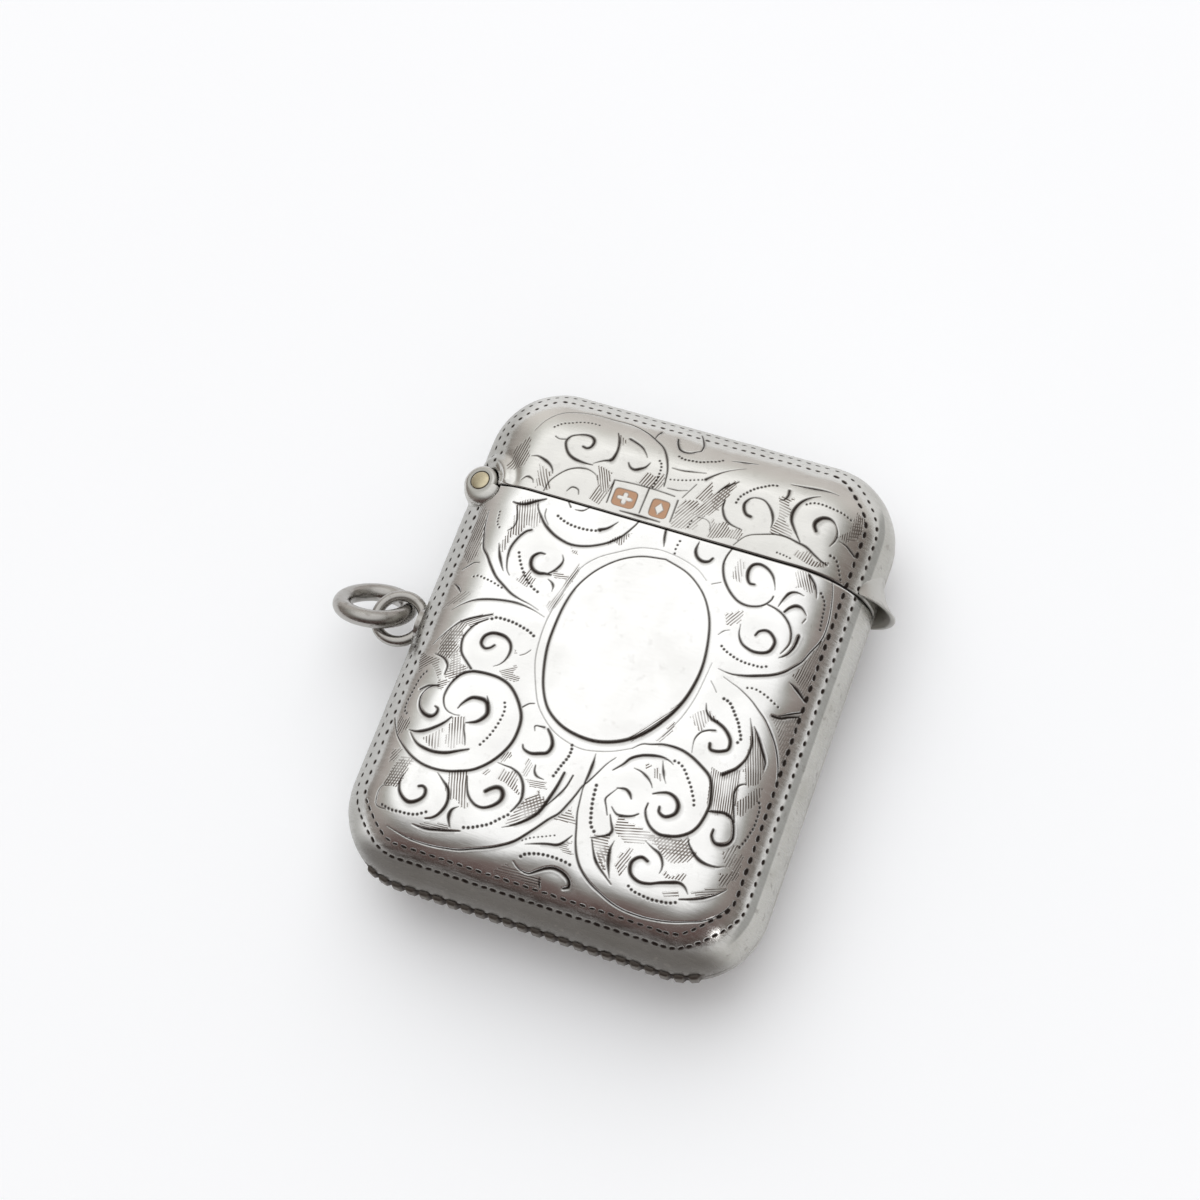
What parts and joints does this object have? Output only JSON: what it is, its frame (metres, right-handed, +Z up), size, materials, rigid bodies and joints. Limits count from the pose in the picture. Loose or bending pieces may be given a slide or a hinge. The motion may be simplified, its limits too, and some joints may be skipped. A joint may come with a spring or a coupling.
{
  "type": "vesta case",
  "caption": "Flat rounded silver pocket match case with a side-hinged, spring-held lid, thumb tab, serrated striker along the base, scroll-engraved front and a chain ring in a side loop.",
  "frame": {"origin": "centre of the flat back face of the closed case", "axes": "+X across the case towards the thumb tab, +Y along it towards the lid, +Z up from the back to the engraved front"},
  "size_m": [0.0438, 0.043, 0.0124],
  "materials": {
    "silver": "polished silver, lightly worn, with dark tarnish in the engraving",
    "worn_silver": "duller worn silver",
    "brass": "worn brass",
    "spring_steel": "blued spring steel"
  },
  "bodies": {
    "body": {"body_front_shell": "silver", "body_back_shell": "silver", "mouth_collar": "worn_silver", "striker_strip": "worn_silver", "body_knuckle_front": "silver", "body_knuckle_back": "silver", "hinge_pin": "brass", "spring_block": "worn_silver", "closing_spring": "spring_steel", "spring_rivets": "brass", "loop_pad": "silver", "chain_loop": "silver"},
    "lid": {"lid_front_shell": "silver", "lid_back_shell": "silver", "lid_knuckle": "silver", "thumb_tab": "silver"},
    "ring": {"chain_ring": "silver"}
  },
  "joints": [
    {"name": "lid_hinge", "type": "hinge", "parent": "body", "child": "lid", "pos_m": [-0.0155, 0.0106, 0.0062], "axis": [0, 0, 1], "range_deg": [0, 95]},
    {"name": "ring_swing", "type": "hinge", "parent": "body", "child": "ring", "pos_m": [-0.0205, -0.0004, 0.0064], "axis": [-1, 0, 0], "range_deg": [0, 90]}
  ]
}
